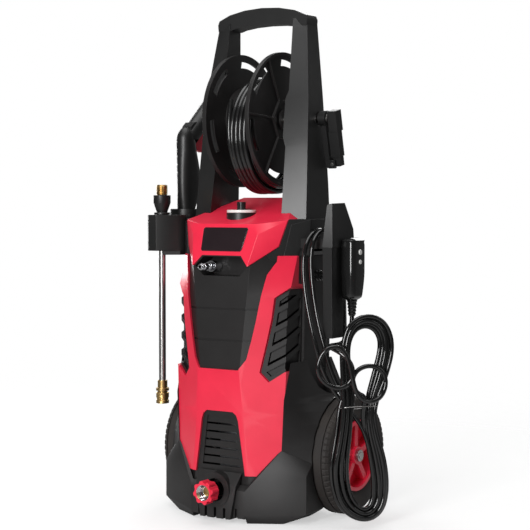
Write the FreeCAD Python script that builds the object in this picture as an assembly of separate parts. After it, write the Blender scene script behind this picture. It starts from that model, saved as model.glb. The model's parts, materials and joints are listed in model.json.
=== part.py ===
"""Upright electric pressure washer with hose reel, lance, spray gun and mains lead.

Units are millimetres. X runs to the machine's right as seen from the front, the front
faces -Y and Z is up. The origin is on the floor under the middle of the machine.
Each named piece is written as its own STEP file.
"""
import FreeCAD
import Part
import math
import os

V = FreeCAD.Vector
AXES = {"X": V(1, 0, 0), "Y": V(0, 1, 0), "Z": V(0, 0, 1)}

# ---------------------------------------------------------------- driving dimensions
WALL = 4.0                 # casing wall thickness
BACK_Y = 62.0              # rear face of the casing
SIDE_X = 113.0             # side face of the casing
HEAD_BASE_Z = 423.0        # lower edge of the head cover
HEAD_LEAN = 0.304          # how far the head cover's front leans back for each step up
SHOULDER_Z = 500.0         # top of the shoulders that carry the uprights

WHEEL_R = 100.0
HUB_R = 60.0
WHEEL_IN = 126.0           # inner and outer faces of each wheel
WHEEL_OUT = 171.0
AXLE_R = 6.0
AXLE_Y = 57.0
ARCH_R = 104.5             # wheel arch in the side of the casing

REEL_Y = 38.0
REEL_Z = 669.0
REEL_LEFT = -53.0          # outer faces of the two reel flanges
REEL_RIGHT = 33.0
FLANGE_R = 115.0
SPOKE_TURN = 27.0          # degrees from straight up to the first spoke
DRUM_R = 58.0
REEL_AXLE_R = 7.0
CRANK_X = 114.0            # where the crank meets the reel axle

HOSE_D = 8.5
HOSE_SAG = 27.0            # how far the hose loops hang below the reel axis
HOSE_R_OUT = 103.0
HOSE_X0, HOSE_X1 = -17.0, 28.0

LANCE_X, LANCE_Y = -155.0, -60.0
LANCE_TUBE_R = 6.0
LANCE_HOLE_R = 12.3
SOCKET_R = 6.0             # nozzle socket at the lance tip
GUN_X, GUN_Y, GUN_Z = -160.0, 16.0, 634.0
HOLDER_Z0, HOLDER_Z1 = 444.0, 506.0

INLET_Z = 53.0
INLET_FRONT = -157.0
INLET_THREAD_R = 13.0
BOSS_R, BOSS_FRONT = 29.0, -123.0
OUTLET_X, OUTLET_Z = -30.0, 421.0

KNOB_Y, KNOB_Z = -43.0, 510.0
SWITCH_R = 25.0

PLUG_X0, PLUG_X1 = 188.0, 215.0
PLUG_Y0, PLUG_Y1 = -38.0, 4.0
PLUG_Z0, PLUG_Z1 = 369.0, 470.0

CORD_D = 7.5
RELIEF_LENGTH = 26.0
FIT = 0.05                 # radial clearance of running fits
GAP = 0.4                  # gap between parts that move past each other


# ---------------------------------------------------------------- building blocks
def box(x0, x1, y0, y1, z0, z1):
    return Part.makeBox(x1 - x0, y1 - y0, z1 - z0, V(x0, y0, z0))


def rod(radius, start, length, axis="Z"):
    return Part.makeCylinder(radius, length, V(*start), AXES[axis])


def cone(r0, r1, start, length, axis="Z"):
    return Part.makeCone(r0, r1, length, V(*start), AXES[axis])


def ring(r_out, r_in, start, length, axis="Z"):
    return rod(r_out, start, length, axis).cut(rod(r_in, start, length, axis))


def fuse(shapes):
    first = shapes[0]
    if len(shapes) == 1:
        return first
    return first.fuse(shapes[1:]).removeSplitter()


def cut(shape, tools):
    for tool in tools:
        shape = shape.cut(tool)
    return shape


def mirror(shape):
    return shape.mirror(V(0, 0, 0), V(1, 0, 0))


def both(points):
    return points + [(-x, y, z) for x, y, z in points]


def prism(points, axis, low, high):
    """Extrude an outline; its two numbers are the axes other than the given one."""
    places = {"X": lambda a, b: V(low, a, b), "Y": lambda a, b: V(a, low, b), "Z": lambda a, b: V(a, b, low)}
    place = places[axis]
    corners = [place(a, b) for a, b in points]
    face = Part.Face(Part.makePolygon(corners + corners[:1]))
    return face.extrude(AXES[axis] * (high - low))


def loft(sections):
    wires = [Part.makePolygon([V(*p) for p in pts] + [V(*pts[0])]) for pts in sections]
    return Part.makeLoft(wires, True, True)


def hull(points):
    """Convex solid round a few corner points."""
    pts = [V(*p) for p in dict.fromkeys(points)]
    middle = sum(pts, V()) / len(pts)
    planes = []
    for i in range(len(pts)):
        for j in range(i + 1, len(pts)):
            for k in range(j + 1, len(pts)):
                normal = (pts[j] - pts[i]).cross(pts[k] - pts[i])
                if normal.Length < 1e-6:
                    continue
                normal.normalize()
                if normal.dot(middle - pts[i]) > 0:
                    normal = normal * -1
                if max(normal.dot(p - pts[i]) for p in pts) > 1e-4:
                    continue
                if all((normal - n).Length > 1e-4 for n, _ in planes):
                    planes.append((normal, pts[i]))
    faces = []
    for normal, base in planes:
        flat = [p for p in pts if abs(normal.dot(p - base)) < 1e-3]
        centre = sum(flat, V()) / len(flat)
        side = (flat[0] - centre).normalize()
        other = normal.cross(side)
        flat.sort(key=lambda p: math.atan2((p - centre).dot(other), (p - centre).dot(side)))
        faces.append(Part.Face(Part.makePolygon(flat + flat[:1])))
    return Part.makeSolid(Part.makeShell(faces))


def soften(shape, radius, pick):
    edges = [e for e in shape.Edges if pick(e)]
    return shape.makeFillet(radius, edges) if edges else shape


def tube(route, radius, name):
    """Round tube of straight runs and tangent arcs as large as the runs allow."""
    pts = [V(*p) for p in route]
    edges = []
    start = pts[0]
    radii = []
    for before, corner, after in zip(pts, pts[1:], pts[2:]):
        back = before - corner
        ahead = after - corner
        half = (math.pi - back.getAngle(ahead)) / 2
        reach = 0.45 * min(back.Length, ahead.Length)
        radii.append(reach / math.tan(half))
        enter = corner + back.normalize() * reach
        leave = corner + ahead.normalize() * reach
        bisector = (back + ahead).normalize()
        centre_far = radii[-1] / math.cos(half)
        middle = corner + bisector * (centre_far - radii[-1])
        edges.append(Part.LineSegment(start, enter).toShape())
        edges.append(Part.Arc(enter, middle, leave).toShape())
        start = leave
    edges.append(Part.LineSegment(start, pts[-1]).toShape())
    path = Part.Wire(edges)
    section = Part.Wire(Part.makeCircle(radius, pts[0], pts[1] - pts[0]))
    solid = path.makePipeShell([section], True, True)
    ideal = math.pi * radius ** 2 * path.Length
    print(f"{name}: length {path.Length:.0f}, smallest radius {min(radii):.0f} "
          f"({min(radii) / radius / 2:.1f} diameters), volume ratio {solid.Volume / ideal:.3f}")
    return solid


# ---------------------------------------------------------------- casing
# Level, half width and Y of the front facet, half width and Y of the side crease.
CASING_LEVELS = [
    (40, 58, -106, 100, -80), (180, 46, -108, 107, -77), (252, 41, -112, 110, -75),
    (374, 53.3, -108.1, 112.6, -70.5), (440, 60, -106, 114, -47)]
PANEL_OUTLINE = [(39, 252), (52, 270), (60, 303), (66, 332), (80, 409), (91, 431), (91, 440)]
VENT_OUTLINE = [
    (71, 249), (84, 233), (106, 249), (125, 260), (125, 392), (113, 389), (92, 371), (88, 336), (81, 298)]
GRILLE_OUTLINE = [(50, 40), (50, 75), (36.5, 168), (33, 177), (26, 182)]
RED_BOTTOM = [(0, 78), (68, 78), (112, 121), (125, 121), (125, 440), (0, 440)]
SIDE_SPLIT = [(-140, 60), (-62, 60), (-62, 250), (-22, 264), (-22, 391), (-42, 394), (-42, 441), (-140, 441)]
VENT_BACK = -22
OUTLET_RECESS = [(37, 438), (53, 422), (36, 406)]
CHAMFER = 161.0            # the shoulders' corner facet lies on x - y = 161
SKIRT_X, SKIRT_Y = 54.0, -114.0            # front corner of the base skirt
SKIRT_SIDE_X, SKIRT_SIDE_Y = 143.0, -66.0  # its side corner


def casing_solid(inset):
    sections = []
    for z, front_x, front_y, side_x, side_y in CASING_LEVELS:
        fx, fy, sx, sy = front_x - inset / 3, front_y + inset, side_x - inset, side_y + inset
        back = BACK_Y - inset
        right = [(fx, fy, z), (sx, sy, z), (sx, back, z)]
        sections.append(right + [(-x, y, height) for x, y, height in reversed(right)])
    return loft(sections)


def front_region(outline, low=-140, high=-20):
    """Outline given for the right half in X and Z, closed on the middle plane and mirrored."""
    right = [(0, outline[0][1])] + outline + [(0, outline[-1][1])]
    half = prism(right, "Y", low, high)
    return half.fuse(mirror(half)).removeSplitter()


def front_part():
    return prism(SIDE_SPLIT, "X", -150, 150)


def vent_region():
    half = prism(VENT_OUTLINE, "Y", -140, VENT_BACK)
    return half.fuse(mirror(half))


def recess_cup(margin, low, high):
    half = [(x + margin, z + margin * side) for (x, z), side in zip(OUTLET_RECESS, (1, 0, -1))]
    return front_region(half, low, high)


def head_front_y(z):
    """Y of the head cover's front, which leans back."""
    return -108 + HEAD_LEAN * (z - HEAD_BASE_Z)


def head_solid():
    front = [(x, head_front_y(z), z) for x, z in ((55, HEAD_BASE_Z), (65, 475), (57, 492))]
    return hull(both(front + [
        (102, -58.5, 498), (91, -69.5, 455), (54, 45, 536), (95, 45, 505), (95, 45, 455),
        (57, 45, HEAD_BASE_Z)]))


def shoulder_solid():
    corner = [
        (62, 425), (91, 430), (115, 440), (129, 466), (129, SHOULDER_Z), (103, SHOULDER_Z), (80, 460)]
    inset = CHAMFER - 3
    return hull([(x, x - inset, z) for x, z in corner] + [(x, BACK_Y, z) for x, z in corner])


def shoulder_pad():
    outline = [(105, 491), (128, 499), (127.5, 472), (117, 457), (112, 440), (95, 433)]
    base = CHAMFER - 3.5
    corners = [V(x, x - base, z) for x, z in outline]
    face = Part.Face(Part.makePolygon(corners + corners[:1]))
    return face.extrude(V(1, -1, 0).normalize() * 3.5 / math.sqrt(2))


def shoulder_outer():
    return shoulder_solid().fuse(shoulder_pad())


def arch():
    right = rod(ARCH_R, (117.5, AXLE_Y, WHEEL_R), 60, "X")
    return right.fuse(mirror(right))


def fender():
    """Flared lobe that sweeps out from the side crease to the wheel arch."""
    outer = SIDE_X + 30
    sections = []
    for z in (99, 130, 160, 182, 196, 204):
        y = AXLE_Y - math.sqrt(ARCH_R ** 2 - (z - WHEEL_R) ** 2)
        crease = 103 + (z - 99) / 20
        sections.append([(99, -60, z), (crease, -80, z), (outer, y, z), (outer, BACK_Y, z), (99, BACK_Y, z)])
    sections.append([(99, -60, 264), (111, -62, 264), (115, 0, 264), (115, BACK_Y, 264), (99, BACK_Y, 264)])
    return loft(sections)


def side_recess():
    """Tall rounded hollow in each side of the rear housing, above the wheel."""
    outline = [(-18, 500), (-18, 275), (-14, 245), (0, 219), (18, 208), (36, 204), (52, 204), (52, 500)]
    right = prism(outline, "X", 109.5, 160)
    return right.fuse(mirror(right))


def casing_parts(parts):
    outer, core, inner = casing_solid(0), casing_solid(WALL), casing_solid(2 * WALL)
    head = head_solid()
    shoulder = shoulder_solid()
    shoulders = shoulder_outer().fuse(mirror(shoulder_outer()))
    skin = outer.cut(core)
    under = core.cut(inner)
    panel_zone = front_region(PANEL_OUTLINE)
    vents = vent_region()
    grille_zone = front_region(GRILLE_OUTLINE)
    front = front_part()
    red = front_region(RED_BOTTOM[1:]).common(front)
    parts["front_shell"] = cut(skin.common(red), [panel_zone, vents, grille_zone, shoulders])
    parts["front_panel"] = panel(under.common(panel_zone), [head, shoulders])
    side = vent_panel(under.common(vents).common(box(0, 140, -140, VENT_BACK, 200, 440)))
    parts["side_vents"] = Part.makeCompound([side, mirror(side)])
    parts["lower_grille"] = grille(under.common(grille_zone))
    parts["rear_housing"] = rear_housing(outer, inner, skin, front, vents, [head, shoulders])
    parts["head_cover"] = head_cover(head)
    yoke = cut(shoulder, [head, core.common(box(0, 200, -140, 50, 400, 440))])
    yoke = yoke.cut(shoulder_hollow()).fuse(shoulder_pad().cut(head)).removeSplitter()
    parts["shoulder_yokes"] = Part.makeCompound([yoke, mirror(yoke)])


def shoulder_hollow():
    return box(99, 123, -18, 50, 446, 494)


def panel(skin, neighbours):
    steps = []
    for z, half in ((352, 67), (300, 57)):
        steps.append(box(-half, half, -140, -20, z - 1.5, z + 1.5).cut(casing_solid(WALL + 1.5)))
    cup = recess_cup(2, -104, -66).cut(recess_cup(0, -120, -69))
    body = cut(skin, steps + neighbours + [recess_cup(2, -120, -66)])
    cup = cup.common(casing_solid(WALL).fuse(box(-80, 80, -101, -60, 400, 445)))
    return body.fuse(cup).removeSplitter().cut(outlet_nipple())


def vent_panel(skin):
    """Recessed louvres that rise towards the rear on both facets, each with an air slit at its foot."""
    outline = [
        (78, 250), (85, 242), (105, 255), (130, 268), (130, 380), (113, 380), (97, 366), (93, 336),
        (87, 298)]
    limit = prism(outline, "Y", -140, VENT_BACK - 5)
    floor = casing_solid(2 * WALL - 1)
    tools = []
    for i in range(6):
        z = 216 + 29 * i
        louvre = slanted_bar(z, 20).common(limit)
        tools += [louvre.cut(floor), slanted_bar(z, 3.5).common(limit)]
    return cut(skin, tools)


def slanted_bar(z, height):
    """Bar across the casing's right corner that rises towards the rear."""
    corners = [V(59, -101, z), V(144, -16, z + 66), V(144, -16, z + 66 + height), V(59, -101, z + height)]
    face = Part.Face(Part.makePolygon(corners + corners[:1]))
    return face.extrude(V(1, -1, 0) * 60).fuse(face.extrude(V(-1, 1, 0) * 30))


def grille(skin):
    """Sunk field of six slats with air slits between them, and the hood round the water inlet."""
    tools = [front_region([(39, 90), (38, 90.1), (27, 173)]).cut(casing_solid(WALL + 1.6))]
    for i in range(6):
        z = 90 + 13.7 * i
        half = 38 - 1.8 * i
        tools.append(box(-half, half, -140, -60, z, z + 3.2))
    boss = ring(BOSS_R, 19, (0, BOSS_FRONT, INLET_Z), 26, "Y")
    plate = ring(BOSS_R, 11.6, (0, -101, INLET_Z), 4, "Y")
    body = cut(skin, tools + [rod(BOSS_R, (0, -140, INLET_Z), 80, "Y")])
    return fuse([body, boss, plate])


def rear_housing(outer, inner, skin, front, vents, neighbours):
    wall = cut(outer.cut(inner), [front, vents])
    lobes = fender()
    lobes = lobes.fuse(mirror(lobes)).cut(outer)
    wall = wall.fuse([lobes, box(-115, 115, BACK_Y - 12, BACK_Y, 440, SHOULDER_Z)])
    below = box(-150, 150, -140, 80, 0, 97).cut(box(-117, 117, -60, 80, 40, 97))
    axle_hole = rod(AXLE_R, (-150, AXLE_Y, WHEEL_R), 300, "X")
    return cut(wall, neighbours + [arch(), side_recess(), below, axle_hole])


def head_cover(head):
    hollow = hull(both([
        (52, -96, 400), (51, -83, 487), (88, -60, 488), (88, -60, 400), (50, 41, 530), (90, 41, 500),
        (90, 41, 400)]))
    plate = badge_solid(1.5)
    switch_seat = rod(SWITCH_R, (0, KNOB_Y, KNOB_Z - 14), 60)
    return cut(head, [hollow, plate, recess_cup(2, -140, -60), switch_seat])


def badge_solid(thickness):
    """Trapezoid plate on the sloping front of the head cover."""
    outline = [(-42, 486), (43, 486), (45, 483), (39, 450), (36, 447), (-41, 447), (-43, 450), (-44.5, 483)]
    corners = [V(x, head_front_y(z), z) for x, z in outline]
    face = Part.Face(Part.makePolygon(corners + corners[:1]))
    outward = V(0, -1, HEAD_LEAN).normalize()
    return face.extrude(outward * -thickness).fuse(face.extrude(outward * 0.8)).removeSplitter()


def skirt_face(x):
    """Y of the skirt's slanting front face."""
    return SKIRT_Y + (x - SKIRT_X) * (SKIRT_SIDE_Y - SKIRT_Y) / (SKIRT_SIDE_X - SKIRT_X)


def skirt_sill():
    """Sunk strip behind the notch between the front shell, the grille and the skirt."""
    foot = casing_solid(0).cut(casing_solid(2 * WALL)).common(front_region([(93, 40), (93, 50)], -140, -63))
    strip = casing_solid(WALL).cut(casing_solid(2 * WALL))
    strip = strip.common(front_region([(93, 50), (93, 110), (60, 86)], -140, -63))
    return foot.fuse(strip).cut(front_region([(50.01, 39), (50.01, 75.01), (36, 180)]))


def base_skirt(housing):
    x0, x1, y0, y1 = SKIRT_X, SKIRT_SIDE_X, SKIRT_Y, SKIRT_SIDE_Y
    corner = hull([
        (x0, y0 + 7, 0), (106, skirt_face(106) + 8, 0), (110, 0, 0), (x0, 0, 0), (x0, y0, 14), (x1, y1, 18),
        (x1, 0, 20), (x1, y1, 80), (x1, -47, 99), (x1, 0, 99), (104, -80.5, 121), (104, 0, 121),
        (100, skirt_face(100), 93), (x0, y0, 54), (x0, -92, 78), (x0, 0, 78)])
    centre = hull(both([(x0, y0, 8), (x0, y0, 54), (x0, -92, 78), (x0, 0, 78), (x0, 0, 8)]))
    hood = hull(both([(30, y0 - 8, 6), (30, y0 - 8, 42), (40, y0 - 5, 62), (44, -104, 86), (30, -100, 6)]))
    tail = box(-112, 112, -20, BACK_Y, 20, 40)
    shape = fuse([corner, mirror(corner), centre, tail, hood])
    slots = [box(x - 2.5, x + 2.5, -130, y0 + 5, 5, 24) for x in (-37, -18.5, 0, 18.5, 37)]
    hollow = box(-84, 84, -92, BACK_Y - 6, 12, 40)
    tools = [casing_solid(0), hollow, rod(BOSS_R, (0, -140, INLET_Z), 60, "Y")]
    body = cut(shape, tools + slots + [arch(), housing])
    return body.fuse(skirt_sill()).cut(rod(BOSS_R, (0, -140, INLET_Z), 60, "Y")).removeSplitter()


# ---------------------------------------------------------------- uprights and handle
UPRIGHT_LEVELS = [
    (SHOULDER_Z, (73, -33), (113, -19), (112, 60), (76, 60)),
    (560, (71, -24), (111, -13), (109, 60), (75, 60)),
    (620, (69.7, -15), (108.4, -7), (104.7, 59.6), (73.3, 59.6)),
    (637, (63, -12.4), (107.7, -5.3), (103.5, 59.5), (66, 59.5)),
    (701, (62, -3), (105, 1), (99, 59), (65, 59)),
    (716, (67.6, -0.7), (103.2, 3.5), (98, 58.6), (70.6, 58.6)),
    (838, (64, 18), (89, 23), (89, 55), (68, 55))]


def upright():
    post = loft([[(x, y, z) for x, y in corners] for z, *corners in UPRIGHT_LEVELS])
    return cut(post, [rod(12, (60, REEL_Y, REEL_Z), 60, "X"), head_solid()])


def handle_bar():
    top = [(91, 836), (88, 843), (66, 852), (35, 858), (0, 860)]
    under = [(0, 832), (30, 831), (54, 828), (64, 825), (90, 825)]
    half = prism(top + under, "Y", 19, 54)
    bar = half.fuse(mirror(half)).removeSplitter()
    posts = upright()
    return cut(bar, [posts, mirror(posts)])


# ---------------------------------------------------------------- reel, hose and crank
def flange(outer_x, towards):
    """Disc with a rolled rim, a raised six-sided hub, spokes from its corners and long curved slots."""
    x0 = min(outer_x, outer_x + towards * 4)
    face_x = min(outer_x, outer_x - towards * 4)
    disc = ring(FLANGE_R, REEL_AXLE_R, (x0, REEL_Y, REEL_Z), 4, "X")
    rim = ring(FLANGE_R, FLANGE_R - 5, (face_x, REEL_Y, REEL_Z), 4, "X")
    hexagon = []
    spokes = []
    slots = []
    for i in range(6):
        turn = math.radians(SPOKE_TURN + 60 * i)
        hexagon.append((REEL_Y - 38 * math.sin(turn), REEL_Z + 38 * math.cos(turn)))
        spoke = box(face_x, face_x + 4, REEL_Y - 1.5, REEL_Y + 1.5, REEL_Z + 30, REEL_Z + FLANGE_R - 3)
        spokes.append(reel_turn(spoke, SPOKE_TURN + 60 * i))
        slot = ring(103, 92, (x0 - 1, REEL_Y, REEL_Z), 6, "X")
        slot = slot.common(box(x0 - 1, x0 + 5, REEL_Y - 28, REEL_Y + 28, REEL_Z, REEL_Z + 110))
        slots.append(reel_turn(slot, SPOKE_TURN + 21 + 60 * i))
    hub = prism(hexagon, "X", face_x, face_x + 4).cut(rod(30, (face_x, REEL_Y, REEL_Z), 4, "X"))
    boss = ring(18, REEL_AXLE_R, (face_x, REEL_Y, REEL_Z), 4, "X")
    return cut(fuse([disc, rim, hub, boss] + spokes), slots)


def reel_turn(shape, degrees):
    return shape.rotate(V(0, REEL_Y, REEL_Z), V(1, 0, 0), degrees)


def reel_parts(parts):
    inner_left, inner_right = REEL_LEFT + 4, REEL_RIGHT - 4
    width = inner_right - inner_left
    parts["reel_axle"] = rod(REEL_AXLE_R, (-112, REEL_Y, REEL_Z), 112 + CRANK_X + 8, "X")
    drum = ring(DRUM_R, DRUM_R - 4, (inner_left, REEL_Y, REEL_Z), width, "X")
    web = ring(DRUM_R - 3, REEL_AXLE_R, (-8, REEL_Y, REEL_Z), 4, "X")
    sleeve = ring(14, REEL_AXLE_R, (inner_left, REEL_Y, REEL_Z), width, "X")
    parts["reel_drum"] = fuse([drum, web, sleeve])
    parts["reel_flange_left"] = flange(REEL_LEFT, 1)
    parts["reel_flange_right"] = flange(REEL_RIGHT, -1)
    sleeve = ring(12, REEL_AXLE_R + FIT, (70, REEL_Y, REEL_Z), 30, "X")
    parts["reel_bushes"] = Part.makeCompound([sleeve, mirror(sleeve)])
    low = REEL_Z - HOSE_SAG
    coil = rod(HOSE_R_OUT, (HOSE_X0, REEL_Y, low), HOSE_X1 - HOSE_X0, "X")
    bore = rod(DRUM_R + 26, (HOSE_X0, REEL_Y, REEL_Z - 26), HOSE_X1 - HOSE_X0, "X")
    parts["hose_coil"] = coil.cut(bore)
    fitting_at = (-33, REEL_Y + 68.5, REEL_Z - 24)
    parts["hose_fitting"] = fuse([
        rod(6.5, fitting_at, 26), rod(11, (fitting_at[0], fitting_at[1], fitting_at[2] + 26), 22)])


CRANK_TILT = 12.8          # degrees the crank arm leans back from straight down
CRANK_LENGTH = 77.0
CRANK_PIVOT_X = 125.0


def crank_place(shape):
    return shape.rotate(V(0, REEL_Y, REEL_Z), V(1, 0, 0), CRANK_TILT)


def crank_parts(parts):
    y, z = REEL_Y, REEL_Z
    foot = z - CRANK_LENGTH
    hub = ring(13, REEL_AXLE_R, (CRANK_X - 6, y, z), 13, "X")
    bar = box(CRANK_X - 3, CRANK_X + 5, y - 7, y + 7, foot - 7, z - 10)
    ears = []
    for side in (-8.5, 8.5):
        ears.append(box(CRANK_X + 4, CRANK_PIVOT_X + 6, y + side - 2.5, y + side + 2.5, foot - 7, foot + 7))
    arm = fuse([hub, bar] + ears)
    pin_hole = rod(3, (CRANK_PIVOT_X, y - 20, foot), 40, "Y")
    parts["crank_arm"] = crank_place(arm.cut(pin_hole))
    parts["crank_pin"] = crank_place(rod(3, (CRANK_PIVOT_X, y - 11, foot), 22, "Y"))
    grip_x = CRANK_PIVOT_X + 9
    tongue = rod(5.4, (CRANK_PIVOT_X, y - 5.6, foot), 11.2, "Y")
    stem = box(CRANK_PIVOT_X + 1, grip_x + 6, y - 5.6, y + 5.6, foot - 4, foot + 16)
    shaft = box(grip_x - 11, grip_x + 7, y - 7.5, y + 7.5, foot + 12, z - 22)
    block = box(grip_x - 8, grip_x + 8, y - 10, y + 10, z - 22, z + 13)
    grip = fuse([tongue, stem, shaft, block])
    parts["crank_grip"] = crank_place(grip.cut(rod(3 + FIT, (CRANK_PIVOT_X, y - 20, foot), 40, "Y")))


# ---------------------------------------------------------------- wheels
def wheel_parts(parts):
    centre = (WHEEL_IN, AXLE_Y, WHEEL_R)
    width = WHEEL_OUT - WHEEL_IN
    tyre = ring(WHEEL_R, HUB_R, centre, width, "X")
    tyre = soften(tyre, 7, lambda e: abs(e.Length - 2 * math.pi * WHEEL_R) < 1)
    rim = ring(HUB_R, HUB_R - 6, centre, width, "X")
    boss = ring(15, AXLE_R + FIT, centre, width, "X")
    disc = ring(HUB_R - 4, 12, (WHEEL_IN + 20, AXLE_Y, WHEEL_R), 5, "X")
    spokes = []
    for i in range(5):
        spoke = box(WHEEL_IN + 8, WHEEL_OUT - 4, AXLE_Y - 5, AXLE_Y + 5, WHEEL_R + 13, WHEEL_R + HUB_R - 4)
        spokes.append(spoke.rotate(V(0, AXLE_Y, WHEEL_R), V(1, 0, 0), 72 * i))
    hub = fuse([rim, boss, disc] + spokes)
    parts["tyre_right"], parts["tyre_left"] = tyre, mirror(tyre)
    parts["wheel_hub_right"], parts["wheel_hub_left"] = hub, mirror(hub)
    parts["wheel_axle"] = rod(AXLE_R, (-WHEEL_OUT - 6, AXLE_Y, WHEEL_R), 2 * WHEEL_OUT + 12, "X")
    clip = ring(10, AXLE_R, (WHEEL_OUT + GAP, AXLE_Y, WHEEL_R), 4, "X")
    spacer = ring(10, AXLE_R, (117.5, AXLE_Y, WHEEL_R), WHEEL_IN - 117.5 - GAP, "X")
    parts["axle_clips"] = Part.makeCompound([clip, mirror(clip), spacer, mirror(spacer)])


# ---------------------------------------------------------------- water fittings and switch
def inlet_parts(parts):
    tube_start = INLET_FRONT + 13
    stub = ring(11, 7.5, (0, tube_start, INLET_Z), 84, "Y")
    collar = ring(12.7, 7.5, (0, tube_start, INLET_Z), 3, "Y")
    parts["inlet_tube"] = fuse([stub, collar])
    body = rod(16.4, (0, INLET_FRONT, INLET_Z), 23, "Y")
    lobes = []
    for i in range(8):
        angle = 2 * math.pi * (i + 0.25) / 8
        centre = (15.4 * math.cos(angle), INLET_FRONT + 1, INLET_Z + 15.4 * math.sin(angle))
        lobes.append(rod(4.4, centre, 18, "Y"))
    nut = fuse([body] + lobes)
    thread = rod(INLET_THREAD_R, (0, INLET_FRONT, INLET_Z), 12.5, "Y")
    chamber = rod(13.3, (0, INLET_FRONT + 12.5, INLET_Z), 3.9, "Y")
    parts["inlet_nut"] = cut(nut, [thread, chamber, rod(11 + FIT, (0, INLET_FRONT, INLET_Z), 60, "Y")])
    parts["inlet_filter"] = rod(7.5, (0, tube_start, INLET_Z), 2.5, "Y")


def outlet_nipple():
    x, z = OUTLET_X, OUTLET_Z
    pieces = [
        rod(4.2, (x, -122, z), 66, "Y"), rod(5.6, (x, -119, z), 3, "Y"), rod(5.6, (x, -111, z), 9, "Y"),
        rod(7.5, (x, -98, z), 4, "Y"), rod(9.5, (x, -90, z), 19, "Y")]
    return fuse(pieces).cut(rod(2.6, (x, -123, z), 30, "Y"))


def switch_parts(parts):
    base = rod(SWITCH_R, (0, KNOB_Y, KNOB_Z - 12), 12)
    below = box(-18, 18, KNOB_Y - 12, KNOB_Y + 14, 446, KNOB_Z - 12)
    parts["switch_housing"] = fuse([base, below]).cut(rod(5 + FIT, (0, KNOB_Y, KNOB_Z - 26), 40))
    lift = KNOB_Z + GAP
    dial = ring(24.5, 7.5, (0, KNOB_Y, lift), 4.6)
    knob = rod(7.5, (0, KNOB_Y, lift), 18)
    pointer = box(-2.2, 2.2, KNOB_Y - 9, KNOB_Y + 9, lift + 4.6, lift + 16)
    spindle = rod(5, (0, KNOB_Y, KNOB_Z - 20), 20 + GAP)
    parts["switch_dial"] = dial
    parts["switch_knob"] = fuse([knob, spindle, pointer])


# ---------------------------------------------------------------- lance and gun on the left
def lance_parts(parts):
    x, y = LANCE_X, LANCE_Y
    tip = 178
    parts["lance_tube"] = ring(LANCE_TUBE_R, 3.5, (x, y, 206), 334)
    parts["lance_thread"] = ring(10, 3.5, (x, y, 540), 18)
    rest = ring(14, 5, (x, y, HOLDER_Z1 + 0.3), 4)
    collar = fuse([cone(9, 15, (x, y, 510), 17), rod(15, (x, y, 527), 13), rod(9, (x, y, 500), 11), rest])
    parts["lance_collar"] = collar.cut(rod(LANCE_TUBE_R, (x, y, 400), 200))
    body = fuse([rod(8.5, (x, y, tip + 6), 34), rod(11.3, (x, y, tip + 22), 5)])
    socket = rod(SOCKET_R, (x, y, tip), 24)
    bores = [socket, rod(LANCE_TUBE_R, (x, y, tip + 28), 20), rod(3.5, (x, y, tip), 40)]
    parts["coupler_body"] = cut(body, bores)
    sleeve = ring(11.3, 8.5 + FIT, (x, y, tip), 19)
    groove = ring(12, 10.3, (x, y, tip + 7), 5)
    parts["coupler_sleeve"] = sleeve.cut(groove)


def lance_holder():
    outline = [
        (-174, -66), (-173, -77), (-169, -80), (-153, -80), (-124, -57), (-118, -46), (-118, -30),
        (-172, -40)]
    block = prism(outline, "Z", HOLDER_Z0, HOLDER_Z1)
    lip = prism([(-146, -70), (-122, -52), (-118, -34), (-146, -38)], "Z", 437, HOLDER_Z0)
    hole = rod(LANCE_HOLE_R, (LANCE_X, LANCE_Y, 400), 150)
    return cut(fuse([block, lip]), [hole, mirror(shoulder_outer())])


def gun_holster():
    x, y = GUN_X, GUN_Y
    cup = ring(28, 22.6, (x, y, 484), 32)
    floor = ring(24, 11, (x, y, 480), 6)
    arm = box(-146, -127, y - 20, y + 20, 470, 500)
    brace = box(-150, -127, -24, 30, 480, 500)
    body = fuse([cup, floor, arm, brace])
    return cut(body, [mirror(shoulder_outer()), rod(22.6, (x, y, 486), 60), rod(11, (x, y, 400), 90)])


GUN_TILT = 41.7            # degrees the gun's handle rises towards the rear
TRIGGER_PIVOT = (26.0, -8.0)


def gun_place(shape):
    return shape.rotate(V(GUN_X, GUN_Y, GUN_Z), V(1, 0, 0), GUN_TILT)


def gun_slab(outline, half_width):
    """Plate in the handle's own frame: distance along the handle and height above its axis."""
    corners = [(GUN_Y + a, GUN_Z + b) for a, b in outline]
    return prism(corners, "X", GUN_X - half_width, GUN_X + half_width)


# Height, half width, half depth and how far the section sits behind the barrel's axis.
GUN_BARREL = [
    (487.3, 12.5, 12.6, 0), (497, 13, 13.2, 0), (507, 14.4, 15.2, 0.8), (518, 15.4, 18, 2),
    (545, 16.5, 26, 9), (572, 17, 27, 9.5), (600, 17, 23.5, 6), (625, 16.8, 19, 2), (643, 15.5, 16.5, 0),
    (654, 11.5, 12, 0), (660, 5.5, 6, 0)]
GRIP_GROOVES = (581, 595, 609, 622, 635)


def gun_barrel(inset=0.0):
    """Swelling front grip of the gun, fullest on its rear side."""
    wires = []
    for z, half_x, half_y, back in GUN_BARREL:
        oval = Part.Ellipse(V(0, 0, 0), half_y - inset, half_x - inset).toShape()
        oval.rotate(V(0, 0, 0), V(0, 0, 1), 90)
        oval.translate(V(GUN_X, GUN_Y + back, z))
        wires.append(Part.Wire(oval))
    return Part.makeLoft(wires, True, False)


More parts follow.
